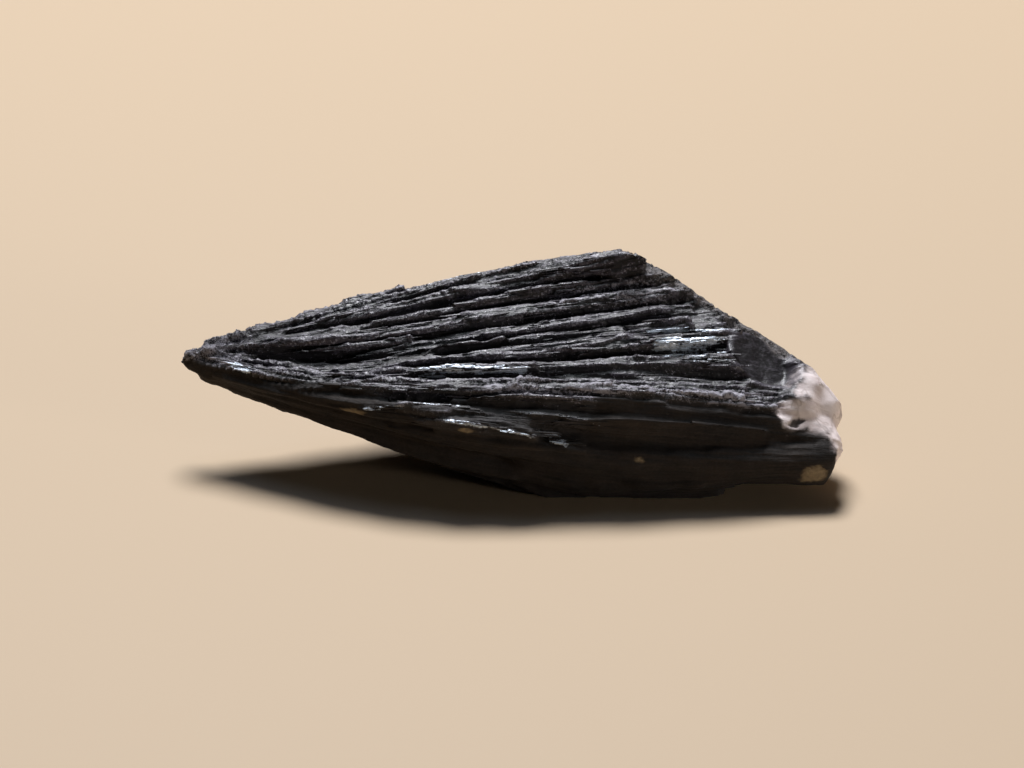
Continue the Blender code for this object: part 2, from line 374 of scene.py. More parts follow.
# What every scatter tree takes: lengths in metres, and the density for each square metre.
scatterInputs = {
    "NodeSocketGeometry": ["Surface"],
    "NodeSocketFloat": ["Density", "Shortest", "Longest", "Narrowest", "Widest", "Flatness", "Sunk"],
    "NodeSocketVector": ["Turn"],
    "NodeSocketInt": ["Seed"],
    "NodeSocketMaterial": ["Finish"],
}


def scatterTree(name, makeShapes, style):
    # the surface has the attributes grain, facing, cover and reach, the longest that a blade may be there
    tree = bpy.data.node_groups.new(name, "GeometryNodeTree")
    for kind, labels in scatterInputs.items():
        for label in labels:
            tree.interface.new_socket(label, in_out="INPUT", socket_type=kind)
    tree.interface.new_socket("Geometry", in_out="OUTPUT", socket_type="NodeSocketGeometry")
    graph = Graph(tree)
    entry = tree.nodes.new("NodeGroupInput")
    given = {label: Sock(graph, entry.outputs[label]) for label in sum(scatterInputs.values(), [])}

    def spread(low, high, step, power=1.0):
        # a random number from low to high, nearer to low as the power grows
        limits = {2: 0.0, 3: 1.0, "Seed": given["Seed"] + step}
        share = graph.add("FunctionNodeRandomValue", None, limits, output=1)
        return low + (high - low) * share.maths("POWER", share, power)

    def named(label, kind):
        return graph.add("GeometryNodeInputNamedAttribute", {"data_type": kind}, {"Name": label})

    facing = named("facing", "FLOAT_VECTOR")
    points = graph.add("GeometryNodeDistributePointsOnFaces", None, {
        "Mesh": given["Surface"], "Seed": given["Seed"],
        "Density": given["Density"] * named("cover", "FLOAT")})
    width = spread(given["Narrowest"], given["Widest"], 1, 1.5)
    height = width * given["Flatness"]
    length = spread(given["Shortest"], given["Longest"], 2, 1.6).least(named("reach", "FLOAT"))
    scale = graph.add("ShaderNodeCombineXYZ", None, {"X": length, "Y": width, "Z": height})
    points = graph.add("GeometryNodeSetPosition", None, {
        "Geometry": points, "Offset": graph.vector("SCALE", facing, Scale=height * given["Sunk"] * -1)})
    points = graph.add("GeometryNodeStoreNamedAttribute", {"data_type": "FLOAT", "domain": "POINT"}, {
        "Geometry": points, "Name": "gloss", "Value": spread(0.0, 1.0, 3)})
    turned = graph.add("FunctionNodeAlignRotationToVector", {"axis": "X"},
                       {"Vector": named("grain", "FLOAT_VECTOR")})
    turned = graph.add("FunctionNodeAlignRotationToVector", {"axis": "Z", "pivot_axis": "X"},
                       {"Rotation": turned, "Vector": facing})
    otherWay = graph.vector("SCALE", given["Turn"], Scale=-1.0)
    euler = graph.add("FunctionNodeRandomValue", {"data_type": "FLOAT_VECTOR"},
                      {0: otherWay, 1: given["Turn"], "Seed": given["Seed"] + 4})
    euler = graph.add("FunctionNodeEulerToRotation", None, {0: euler})
    turned = graph.add("FunctionNodeRotateRotation", {"rotation_space": "LOCAL"},
                       {"Rotation": turned, "Rotate By": euler})
    shapes = graph.add("GeometryNodeJoinGeometry", None, {0: makeShapes(graph, style)})
    pick = graph.add("FunctionNodeRandomValue", {"data_type": "INT"},
                     {4: 0, 5: style["shapes"] - 1, "Seed": given["Seed"] + 5}, output=2)
    made = graph.add("GeometryNodeInstanceOnPoints", None, {
        "Points": points, "Instance": shapes, "Pick Instance": True, "Instance Index": pick,
        "Rotation": turned, "Scale": scale})
    made = graph.add("GeometryNodeRealizeInstances", None, {0: made})
    made = graph.add("GeometryNodeSetMaterial", None, {"Geometry": made, "Material": given["Finish"]})
    leave = tree.nodes.new("NodeGroupOutput")
    graph.feed(leave.inputs[0], made)
    return tree


def strewn(name, surface, tree, values):
    # the plain mesh that a scatter tree makes on the surface
    carrier = addObject(name, surface)
    modifier = carrier.modifiers.new("strew", "NODES")
    modifier.node_group = tree
    for item in tree.interface.items_tree:
        if item.item_type == "SOCKET" and item.in_out == "INPUT" and item.name in values:
            modifier[item.identifier] = values[item.name]
    graph = bpy.context.evaluated_depsgraph_get()
    mesh = bpy.data.meshes.new_from_object(carrier.evaluated_get(graph))
    bpy.data.objects.remove(carrier)
    mesh.name = name
    return mesh


# Patches of painted highlight on silvery blades, and of frosty crust: each a middle and a half width counted
# in rails round the fan, a start and a stop as shares of the way along it, and how strong it is.
patches = {
    "silverHighlight": [
        (2.30, 0.12, 0.30, 0.42, 0.3), (1.05, 0.12, 0.45, 0.60, 0.3),
        (2.20, 0.30, 0.86, 0.96, 0.6), (8.40, 0.30, 0.30, 0.60, 0.6), (7.60, 0.25, 0.50, 0.80, 0.5),
    ],
    "frostAndHighlight": [
        (3.06, 0.22, 0.52, 0.97, 1.0), (2.60, 0.25, 0.10, 0.45, 0.5), (0.05, 0.35, 0.15, 0.90, 0.6),
        (1.00, 0.20, 0.70, 0.98, 0.9), (3.70, 0.25, 0.36, 0.50, 0.8), (2.00, 1.10, 0.00, 0.10, 1.0),
        (8.00, 0.50, 0.30, 0.90, 0.5),
    ],
    "streak": (0.6, 5.0, 12),  # how wide and long the streaks in a patch are, mm, and their seed
}


# Seams are the ridges and valleys that stand out in the photograph: each a line of rails round the fan and
# shares of the way along it, then its half width and height in mm, and how much painted highlight it has.
seams = [
    ([(0.99, 0.12), (1.00, 0.19), (1.06, 0.27), (1.22, 0.40), (1.20, 0.52)], 0.32, 0.22, 0.0),
    ([(1.35, 0.31), (1.44, 0.43), (1.50, 0.58), (1.48, 0.71), (1.47, 0.80), (1.38, 0.92)], 0.32, 0.22, 0.1),
    ([(2.60, 0.18), (2.38, 0.23), (2.13, 0.30), (2.10, 0.42), (2.09, 0.52), (2.13, 0.65), (2.05, 0.76),
      (1.84, 0.85)], 0.30, 0.20, 0.25),
    ([(3.46, 0.21), (3.06, 0.28), (2.75, 0.39), (2.95, 0.46)], 0.32, 0.18, 0.2),
    ([(3.11, 0.48), (3.09, 0.63), (3.09, 0.73), (3.06, 0.83), (2.97, 0.96)], 0.55, 0.16, 0.0),
    ([(2.49, 0.45), (2.52, 0.53), (2.54, 0.62)], 0.34, 0.22, 1.0),
    ([(1.81, 0.85), (1.82, 0.91), (1.93, 0.99)], 0.26, 0.16, 1.0),
    ([(2.19, 0.84), (2.11, 0.90), (2.11, 0.96)], 0.28, 0.18, 1.0),
    ([(2.35, 0.84), (2.26, 0.89), (2.27, 0.95)], 0.22, 0.14, 0.9),
    ([(3.87, 0.32), (3.59, 0.41), (3.50, 0.49)], 0.28, 0.18, 0.6),
    ([(3.92, 0.45), (3.96, 0.52), (4.06, 0.58), (4.20, 0.63)], 0.26, 0.18, 0.8),
    ([(3.54, 0.56), (3.59, 0.62), (3.72, 0.68)], 0.26, 0.14, 0.5),
    ([(1.51, 0.13), (1.56, 0.25), (1.64, 0.34), (1.80, 0.44), (1.81, 0.52), (1.82, 0.61), (1.76, 0.71),
      (1.68, 0.83)], 0.55, -0.34, 0.0),
    ([(2.26, 0.45), (2.27, 0.59), (2.28, 0.69), (2.26, 0.80)], 0.35, -0.22, 0.0),
    ([(2.56, 0.65), (2.54, 0.78), (2.57, 0.88), (2.62, 0.95)], 0.45, -0.20, 0.0),
    ([(3.34, 0.36), (3.42, 0.50), (3.44, 0.60), (3.50, 0.70)], 0.85, -0.42, 0.0),
    ([(3.50, 0.70), (3.54, 0.80), (3.50, 0.94)], 1.30, -0.30, 0.0),
    ([(3.79, 0.55), (4.00, 0.65), (4.05, 0.70)], 0.60, -0.15, 0.0),
]


def stretchAt(flow, start, stop):
    # 1 between the start and the stop along the fan, with soft ends
    fade = 0.02
    opening = smoothStep(flow["along"], start - fade, start + fade)
    return opening * smoothStep(flow["along"], stop + fade, stop - fade)


def seamsAt(points, flow):
    # how much every seam lifts a point, how much painted highlight it gives, and how much of a valley it is
    # there
    lift, silverHighlight, valley = np.zeros((3, len(points)))
    sway = 0.14 * noiseAt(points, 1.2, 21, 2)  # mm
    for line, half, height, shine in seams:
        arounds, alongs = np.array(line).T
        middle = np.interp(flow["along"], alongs, arounds)
        away = np.abs(flow["around"] - middle) * flow["girth"] / fanFlow.turns
        inside = smoothStep(np.abs(away + sway), half, 0.0) * stretchAt(flow, alongs[0], alongs[-1])
        lift += height * inside
        silverHighlight = np.maximum(silverHighlight, shine * np.minimum(inside * 1.6, 1))
        if height < 0:
            valley = np.maximum(valley, np.minimum(inside * 1.5, 1))
    return lift, silverHighlight, valley


def patchesAt(flow, name):
    total = np.zeros(len(flow["along"]))
    for middle, half, start, stop, strength in patches[name]:
        inside = smoothStep(turnFrom(flow["around"], middle), half * 1.4, half * 0.6)
        total = np.maximum(total, strength * (inside * stretchAt(flow, start, stop)))
    streaky = smoothStep(streaksAt(flow, *patches["streak"]), -0.25, 0.15)
    return total * (0.25 + 0.75 * streaky)


# Marks that have a place of their own: each a centre and its reach in mm, or a line and its thickness.
marks = {
    "nub": [((19.0, -2.2, 4.5), (2.4, 2.8, 2.3)), ((18.5, -0.3, 6.0), (1.3, 2.0, 0.9)),
            ((17.7, -4.1, 4.9), (1.2, 1.3, 1.1))],
    "rodEnd": [((20.4, -4.4, 3.1), (0.8, 1.6, 1.5)), ((20.9, -6.0, 2.4), (0.45, 1.3, 1.4))],
    "tan": [((18.9, -6.7, 2.0), (0.85, 0.9, 0.62)), ((-10.0, -4.9, 5.5), (0.8, 0.7, 0.2)),
            ((-2.9, -6.8, 5.1), (0.6, 0.6, 0.2)), ((8.0, -6.6, 3.2), (0.35, 0.6, 0.15)),
            ((12.6, 5.2, 6.1), (0.5, 0.6, 0.3))],
    "strip": [(7.9, 5.4, 11.2, 0.8), (9.6, 4.8, 10.6, 1.0), (11.6, 4.1, 9.7, 1.1), (13.6, 3.3, 8.7, 1.2),
              (15.3, 2.4, 7.8, 1.2), (16.7, 1.1, 6.8, 1.1)],
    "pit": ((17.6, -4.5, 4.7), (0.6, 0.7, 0.35)),
    # spots of painted highlight at the tip
    "glint": [((-17.5, -0.45, 6.68), (0.42, 0.4, 0.17)), ((-16.8, -0.75, 6.50), (0.5, 0.4, 0.14))],
}


def spotsAt(points, spots, ragged):
    # 1 in the middle of any of the spots, 0 outside them
    total = np.zeros(len(points))
    uneven = ragged * noiseAt(points, 0.9, 18, 3)
    for centre, reach in spots:
        away = np.linalg.norm((points - centre) / np.array(reach), axis=1) + uneven
        total = np.maximum(total, smoothStep(away, 1.15, 0.85))
    return total


def awayFrom(points, line):
    # how far each point is from a line, counted in its thickness there
    line = np.array(line)
    least = np.full(len(points), np.inf)
    for start, stop in zip(line[:-1], line[1:]):
        run = stop[:3] - start[:3]
        share = np.clip((points - start[:3]) @ run / (run @ run), 0, 1)
        nearest = start[:3] + share[:, None] * run
        thick = start[3] + share * (stop[3] - start[3])
        least = np.minimum(least, np.linalg.norm(points - nearest, axis=1) / thick)
    return least


def zonesAt(points, flow):
    # how much of each kind of surface there is at each point, from 0 to 1
    x, z = points[:, 0], points[:, 2]
    wander = noiseAt(points, 2.5, 3)
    around = flow["around"] + 0.08 * noiseAt(points, 3.0, 4)
    along = flow["along"]
    # the rail where the dull flank with its painted shade starts, further down below the shelf in the middle
    brow = 3.2 - 0.25 * smoothStep(along, 0.34, 0.28)
    brow += 0.85 * smoothStep(along, 0.33, 0.42) * smoothStep(along, 0.70, 0.62)
    seamLift, seamHighlight, valley = seamsAt(points, flow)
    shelf = smoothStep(around, 3.25, 3.45) * smoothStep(around, 4.5, 4.2)
    upperSide = np.maximum(smoothStep(around, 3.2, 2.8), smoothStep(around, 7.6, 8.0))
    tip = smoothStep(-x + wander * 1.2, 16.0, 18.5) * upperSide
    # the glint spots add painted highlight to that of the silvery patches and seams
    glinting = 1.3 * spotsAt(points, marks["glint"], 0.15)
    return {
        "seam": seamLift,
        "valley": valley,
        "shelf": shelf * smoothStep(along, 0.30, 0.35) * smoothStep(along, 0.70, 0.64),
        "tip": tip,
        "end": smoothStep(along + 0.015 * wander, 0.96, 1.0),
        "ground": smoothStep(z, 0.5, 0.02),
        "flank": smoothStep(around, brow - 0.12, brow + 0.12) * smoothStep(around, 7.2, 6.7),
        "silverHighlight": np.maximum.reduce([patchesAt(flow, "silverHighlight"), seamHighlight, glinting]),
        # at the tip the frost is partly crust and partly a painted highlight on its lit top
        "frostAndHighlight": np.maximum(patchesAt(flow, "frostAndHighlight"), 0.85 * tip),
        "pale": spotsAt(points, marks["nub"] + marks["rodEnd"], 0.25),
        "strip": smoothStep(awayFrom(points, marks["strip"]) + 0.2 * wander, 1.25, 0.95),
        "tan": spotsAt(points, marks["tan"], 0.45),
        "pit": spotsAt(points, [marks["pit"]], 0.6),
    }


# The finish: near-black blades with fine lines along them, grey dust and frosty crust on the ridges (at the
# tip the frost is partly a painted highlight), silvery glints that are partly painted highlights, a flank and
# shelf painted dark brown as shade with the floor's warm bounce, a few tan specks, and a pale nub at the
# broad end.
finish = {
    "black": (0.020, 0.018, 0.020, 1),
    "grey": (0.078, 0.070, 0.088, 1),
    # frost colour, also used as the painted highlight on the tip's top
    "frostAndHighlight": (0.34, 0.33, 0.38, 1),
    # the painted highlight colour of the silvery glints
    "silverHighlight": (0.66, 0.73, 0.82, 1),
    # painted shade colours for the flank and shelf, the brown a painted reflection of the floor
    "shadeUmber": (0.007, 0.0055, 0.005, 1),
    "shadeBrown": (0.034, 0.024, 0.018, 1),
    "tan": (0.36, 0.275, 0.165, 1),
    "pale": (0.88, 0.79, 0.78, 1),
    "paleShade": (0.68, 0.58, 0.57, 1),
    "vein": (0.26, 0.19, 0.15, 1),
    "stone": (0.20, 0.178, 0.172, 1),
    "stoneShade": (0.035, 0.032, 0.032, 1),
    # how fine the flow is round and along the fan, then the scales of the patterns
    "roundScale": 5.7,
    "alongScale": 2.6,
    "lineScale": 5.5,
    "bandScale": 1.3,
    "fleckScale": 4.5,
    "grainScale": 4.2,
    "mottleScale": 2.2,
    "patchScale": 0.45,
    "sugarScale": 6.0,
    "veinScale": 0.55,
    "bumpDepth": 0.085,  # mm
    "ior": 1.72,
    "specularLevel": 0.28,
}


def keepFinish(mesh, flow, zone, crest, crust, gloss):
    # what the finish reads: where a point is along the grain, what lies there, and how worn it is
    across = np.cos(flow["angle"]) * finish["roundScale"]
    upward = np.sin(flow["angle"]) * finish["roundScale"]
    keep(mesh, "flow", np.column_stack([across, upward, flow["along"] * finish["alongScale"]]))
    # painted shade on the flank and most of the shelf, except where a highlight is painted
    dullAndShaded = np.maximum(zone["flank"], 0.7 * zone["shelf"] * (1 - np.minimum(zone["silverHighlight"] * 1.5, 1)))
    keep(mesh, "zones", np.column_stack([zone["silverHighlight"], zone["frostAndHighlight"], dullAndShaded]))
    # painted shade in the valleys: they keep little dust or crust, so they stay black
    bare = 1 - 0.85 * zone["valley"]
    keep(mesh, "wear", np.column_stack([crest * bare, crust * bare, gloss]))
    keep(mesh, "marks", np.column_stack([zone["pale"] * (1 - 0.9 * zone["pit"]), zone["strip"], zone["tan"]]))


def kyaniteFinish():
    material, shader = newMaterial("kyanite")
    graph = Graph(material.node_tree)
    place = graph.vector("SCALE", graph.add("ShaderNodeTexCoord", output=3), Scale=1 / mm)
    flow = graph.attribute("flow")
    silverHighlight, frostAndHighlight, flank = graph.parts(graph.attribute("zones"))
    crest, crust, gloss = graph.parts(graph.attribute("wear"))
    pale, strip, tan = graph.parts(graph.attribute("marks"))
    facet = gloss.least(0.0) * -1  # the body's gloss is below 0 on its flat breaks
    # lines, bands and flecks that run along the blades, then patterns that fill space
    lines = graph.noise(flow, finish["lineScale"], 3.0, 0.6)
    band = graph.noise(flow, finish["bandScale"], 2.0)
    fleck = graph.noise(graph.vector("MULTIPLY", flow, (1.0, 1.0, 4.0)), finish["fleckScale"], 2.0, 0.6)
    grain = graph.noise(place, finish["grainScale"], 3.0, 0.62)
    mottle = graph.noise(graph.vector("MULTIPLY", place, (0.6, 1.0, 1.0)), finish["mottleScale"], 3.0, 0.6)
    patch = graph.noise(place, finish["patchScale"], 3.0)
    sugar = graph.noise(place, finish["sugarScale"], 2.0, 0.7)
    # grey dust, most of it on the crests
    dusty = grain + sugar * 0.6 + lines * 1.1 + fleck * 0.6 + mottle * 0.4
    dust = (crest * 0.45 + dusty + crust * 0.08 - 1.97).rise(0.0, 0.26)
    # dust thins out on the flank and shelf as part of their painted shade, and on the flat breaks
    dust = dust * (1 - flank * 0.92) * (1 - facet * 0.5)
    colour = graph.mixed(dust, finish["black"], finish["grey"])
    # frosty specks and patches, at the tip partly a painted highlight; few specks in the flank's painted
    # shade
    speck = (sugar * 1.2 + mottle * 0.5 + crest * 0.12 + frostAndHighlight * 0.10 - facet * 0.7 - 1.02).rise(0.0, 0.10)
    speck = speck * (1 - flank * 0.9)
    colour = graph.mixed(speck * 0.8, colour, finish["frostAndHighlight"])
    white = (frostAndHighlight * 0.6 + grain * 1.1 + crest * 0.35 + mottle - 1.65).rise(0.0, 0.30)
    colour = graph.mixed(white, colour, finish["frostAndHighlight"])
    # painted shade on the flank and shelf: dark umber, and brown as a painted reflection of the floor
    shadeBrown = graph.mixed((lines * 1.8 + patch * 0.9 - 0.90).clamped(), finish["shadeUmber"], finish["shadeBrown"])
    colour = graph.mixed((flank * (0.55 + patch * 0.8)).clamped(), colour, shadeBrown)
    # painted highlights: silvery glints in a pale bluish colour with a little metallic sheen, then tan specks
    shine = (silverHighlight * 0.9 + gloss * 0.20 + grain * 0.9 + fleck * 0.6 + lines * 0.4 - 1.50).rise(0.0, 0.25)
    colour = graph.mixed(shine, colour, finish["silverHighlight"])
    colour = graph.mixed((tan * (grain * 0.9 + 0.2)).clamped(), colour, finish["tan"])
    # the strip of rock down the slanting end, and the pale nub with its veins
    rock = graph.mixed((grain + mottle * 0.9 - 0.45).rise(0.25, 0.75), finish["stoneShade"], finish["stone"])
    colour = graph.mixed(strip * 0.85, colour, rock)
    softTone = (mottle * 0.7 + patch * 0.9 - 0.30).rise(0.20, 0.65)
    nub = graph.mixed(softTone, finish["paleShade"], finish["pale"])
    fromVein = graph.noise(place, finish["veinScale"], 2.0, 0.6) - 0.5
    vein = (0.035 - fromVein.most(fromVein * -1)).rise(0.0, 0.035)
    nub = graph.mixed(vein * 0.30, nub, finish["vein"])
    graph.feed(shader.inputs["Base Color"], graph.mixed(pale, colour, nub))
    bare = 1 - pale.most(tan).most(strip)
    graph.feed(shader.inputs["Metallic"], shine * bare * 0.35)
    glint = (sugar + crest * 0.10 - 0.62).rise(0.0, 0.10) * (1 - flank)
    rough = 0.16 + sugar * 0.42 + grain * 0.20 + dust * 0.06 + white * 0.15 + (1 - bare) * 0.25 + flank * 0.48
    rough = rough - crest * 0.08 - glint * 0.20 - shine * 0.12
    graph.feed(shader.inputs["Roughness"], rough.clamped())
    beads = (grain * 0.8 + sugar * 0.25) * (1 - pale * 0.7) * (1 - flank * 0.6) * (1 - facet * 0.5)
    height = lines * (1 - flank * 0.25 - facet * 0.7) * (1 - pale) + beads + fleck * 0.3 + band * 0.3
    depth = finish["bumpDepth"] * mm
    bump = graph.add("ShaderNodeBump", None, {"Height": height, "Strength": 1.0, "Distance": depth})
    graph.feed(shader.inputs["Normal"], bump)
    shader.inputs["IOR"].default_value = finish["ior"]
    shader.inputs["Specular IOR Level"].default_value = finish["specularLevel"]
    return material


# The body: the solid with its broken end filled out, fused, then grooved into blades, worn and crusted.
body = {
    # rounded lumps, each a centre and its reach: the nub, and what joins it to the lowest blade
    "lumps": [
        ((17.9, -2.9, 4.9), (1.7, 1.7, 1.4)), ((19.3, -1.6, 4.3), (1.7, 2.1, 1.8)),
        ((18.0, -0.4, 5.9), (1.6, 1.9, 1.2)), ((18.6, -3.9, 3.6), (2.0, 1.7, 1.2)),
        ((19.6, -4.6, 3.0), (1.3, 1.5, 1.2)), ((18.5, -2.0, 6.0), (1.2, 1.2, 0.8)),
    ],
    "lumpRoughness": 0.15,
    # a ledge is a line and how thick it is there: the rough strip down the slanting end, then the nose
    "ledges": [
        [(7.9, 5.0, 10.9, 0.75), (9.6, 4.4, 10.2, 0.95), (11.6, 3.6, 9.2, 1.00), (13.6, 2.9, 8.2, 1.00),
         (15.3, 2.0, 7.3, 1.05), (16.7, 0.9, 6.4, 1.05), (17.6, -0.2, 5.8, 1.00)],
        [(-20.4, 1.2, 6.2, 0.30), (-19.7, 1.4, 6.5, 0.55), (-18.4, 1.8, 6.9, 0.62), (-17.0, 2.2, 7.3, 0.55),
         (-15.6, 2.4, 7.6, 0.40)],
    ],
    "ledgeRoughness": 0.2,
    "ledgeStep": 0.25,
    "ledgeSway": 0.15,
    # how high the broad end reaches at each place across, seen from the photograph's angle, in mm
    "outline": [(5.0, 16.6), (5.6, 16.2), (6.3, 16.15), (7.5, 15.9), (8.65, 15.3), (10.7, 13.96),
                (13.33, 12.07), (15.96, 10.46), (19.17, 8.2), (20.92, 5.9), (21.3, 5.0)],
    "outlineUp": (0.0, 0.4226, 0.9063),  # the way up from that angle
    "outlineBase": 2.662,  # how high the origin is on the same scale
    # flat breaks: a centre, which way it faces, its long and short reach, and the way of the long one
    "breaks": [((15.6, -0.9, 7.3), (0.40, -0.50, 0.77), 2.2, 1.5, (0.75, -0.35, -0.56))],
    "dish": 0.12,  # how hollow they are, mm
    "voxel": 0.112,
    "triangles": 196000,
    # smoothing before the carving: how many rounds, and how much of it the nub, the flank and the tip take
    "nubEasing": (50, 0.9),
    "flankEasing": (120, 0.75),
    "tipEasing": (20, 0.8),
    # rounds of smoothing against which a blade, a broad form and a fine edge stand out
    "bladeRounds": 25,
    "broadRounds": 80,
    "edgeRounds": 14,
    "facingRounds": 20,
    "sharpen": 0.25,
    "deepen": 0.6,
    # ridges along the blades: how far apart and how long they are, how high, how much of the way is ridge,
    # and a seed
    "ridges": [(0.80, 14.0, 0.16, 0.32, 1), (0.40, 9.0, 0.15, 0.38, 2), (0.28, 7.0, 0.06, 0.42, 9)],
    "levels": 0.14,  # how high the steps beside a ridge are, as a share of its height
    "crustDepth": 0.11,
    "pitDepth": 0.10,
    "markDepth": 0.12,
    "room": 0.10,  # how far outside the solid's box a point may be, mm
}


def cadCopy(name):
    mesh = frame["nodes"]["kyanite_fan"].data.copy()
    mesh.name = name
    work = bmesh.new()
    work.from_mesh(mesh)
    bmesh.ops.remove_doubles(work, verts=work.verts, dist=1e-7)
    work.to_mesh(mesh)
    work.free()
    mesh.materials.clear()
    return mesh


def modified(mesh, kind, **settings):
    # the mesh with one modifier applied
    carrier = addObject(mesh.name, mesh)
    modifier = carrier.modifiers.new("shape", kind)
    for name, value in settings.items():
        setattr(modifier, name, value)
    graph = bpy.context.evaluated_depsgraph_get()
    made = bpy.data.meshes.new_from_object(carrier.evaluated_get(graph), preserve_all_data_layers=True,
                                           depsgraph=graph)
    bpy.data.objects.remove(carrier)
    return made


def addLump(work, centre, reach, roughness, seed):
    made = bmesh.ops.create_icosphere(work, subdivisions=3, radius=1)
    for corner in made["verts"]:
        swell = 1 + roughness * noise.noise(corner.co * 1.6 + Vector((seed, 0, 0)))
        axes = zip(centre, corner.co, reach)
        corner.co = Vector([(middle + part * size * swell) * mm for middle, part, size in axes])


def addLedge(work, line, seed):
    # many small lumps in a row, close enough to make one uneven ledge
    line = np.array(line)
    steps = np.concatenate([[0], np.cumsum(np.linalg.norm(np.diff(line[:, :3], axis=0), axis=1))])
    for number, away in enumerate(np.arange(0, steps[-1], body["ledgeStep"])):
        x, y, z, thick = [np.interp(away, steps, line[:, part]) for part in range(4)]
        sway = [body["ledgeSway"] * noise.noise((number * 0.3, seed + part, 0.5)) for part in range(3)]
        swell = thick * (1 + 0.18 * noise.noise((number * 0.5, seed, 7.5)))
        centre = (x + sway[0], y + sway[1], z + sway[2])
        addLump(work, centre, (swell, swell, swell * 0.85), body["ledgeRoughness"], number)


def flatBreak(work, centre, facing, longReach, shortReach, longWay):
    # a shallow dome, which the wearing cuts flat
    up = Vector(facing).normalized()
    long = Vector(longWay)
    long = (long - up * long.dot(up)).normalized()
    short = up.cross(long)
    made = bmesh.ops.create_icosphere(work, subdivisions=3, radius=1)
    for corner in made["verts"]:
        a, b, c = corner.co
        side = long * a * longReach * 1.1 + short * b * shortReach * 1.1
        corner.co = (Vector(centre) + side + up * (c * 0.9 - 0.6)) * mm


def fusedBody():
    joined = bmesh.new()
    joined.from_mesh(cadCopy("fan_surface"))
    for number, (centre, reach) in enumerate(body["lumps"]):
        addLump(joined, centre, reach, body["lumpRoughness"], number * 3.1)
    for number, line in enumerate(body["ledges"]):
        addLedge(joined, line, number * 5.3)
    for flat in body["breaks"]:
        flatBreak(joined, *flat)
    mesh = bpy.data.meshes.new("fan_body")
    joined.to_mesh(mesh)
    joined.free()
    fused = modified(mesh, "REMESH", mode="VOXEL", voxel_size=body["voxel"] * mm)
    print("fused body:", trianglesOf(fused), "triangles")
    return fused


def insideBox(points):
    low = np.array(cadBox[0]) / mm - body["room"]
    high = np.array(cadBox[1]) / mm + body["room"]
    low[2] = 0.0
    return np.clip(points, low, high)


def brokenFlat(points):
    # cuts the flat breaks, and says how much of one each point is on, and of its rim
    flat = np.zeros(len(points))
    rim = np.zeros(len(points))
    for centre, facing, longReach, shortReach, longWay in body["breaks"]:
        up = np.array(Vector(facing).normalized())
        long = np.array(longWay) - up * np.dot(longWay, up)
        long /= np.linalg.norm(long)
        short = np.cross(up, long)
        offset = points - np.array(centre)
        height = offset @ up
        away = np.hypot(offset @ long / longReach, offset @ short / shortReach)
        away += 0.12 * noiseAt(points, 1.3, 15)
        dished = body["dish"] * (away ** 2 - 1) + 0.05 * noiseAt(points, 0.9, 16, 2)
        near = np.abs(height) < 1.2
        inside = smoothStep(away, 1.25, 0.85) * near
        points = points - up * ((height - dished) * inside)[:, None]
        flat = np.maximum(flat, inside)
        rim = np.maximum(rim, smoothStep(away, 0.80, 1.05) * smoothStep(away, 1.5, 1.15) * near)
    return points, flat, rim


def underOutline(points):
    # presses the broad end down below the photographed outline, with a ragged edge
    up = np.array(body["outlineUp"])
    across, height = np.array(body["outline"]).T
    steps = smoothStep(noiseAt(points, 1.2, 23, 2), 0.02, 0.16) * smoothStep(points[:, 0], 15.5, 14.0)
    ragged = 0.12 * noiseAt(points, 0.9, 19, 3) + 0.20 * steps
    over = points @ up + body["outlineBase"] - np.interp(points[:, 0], across, height) + ragged
    over = np.where(points[:, 0] > across[0], np.maximum(over, 0), 0)
    return points - over[:, None] * up


def ridgesAt(flow):
    # narrow ridges of a few sizes that come and go, over ground that steps up and down a little
    total = np.zeros(len(flow["along"]))
    for width, length, height, share, seed in body["ridges"]:
        wave = streaksAt(flow, width, length, seed)
        ridge = (1 - np.minimum(np.abs(wave) / share, 1.0)) ** 0.8
        alive = smoothStep(streaksAt(flow, width * 1.5, length * 0.35, seed + 40), -0.30, 0.08)
        level = body["levels"] * np.sign(wave) * np.minimum(np.abs(wave) * 4, 1)
        total += height * (ridge * alive - 0.3 + level)
    return total


def eased(points, edges, easing, share):
    # the points smoothed, each as much as its share says
    rounds, strength = easing
    return points + (smoothed(points, edges, rounds) - points) * (strength * share)[:, None]


def standingOut(points, edges, normals, rounds):
    # how far each point stands out from the smoothed surface, in mm
    return ((points - smoothed(points, edges, rounds)) * normals).sum(1)


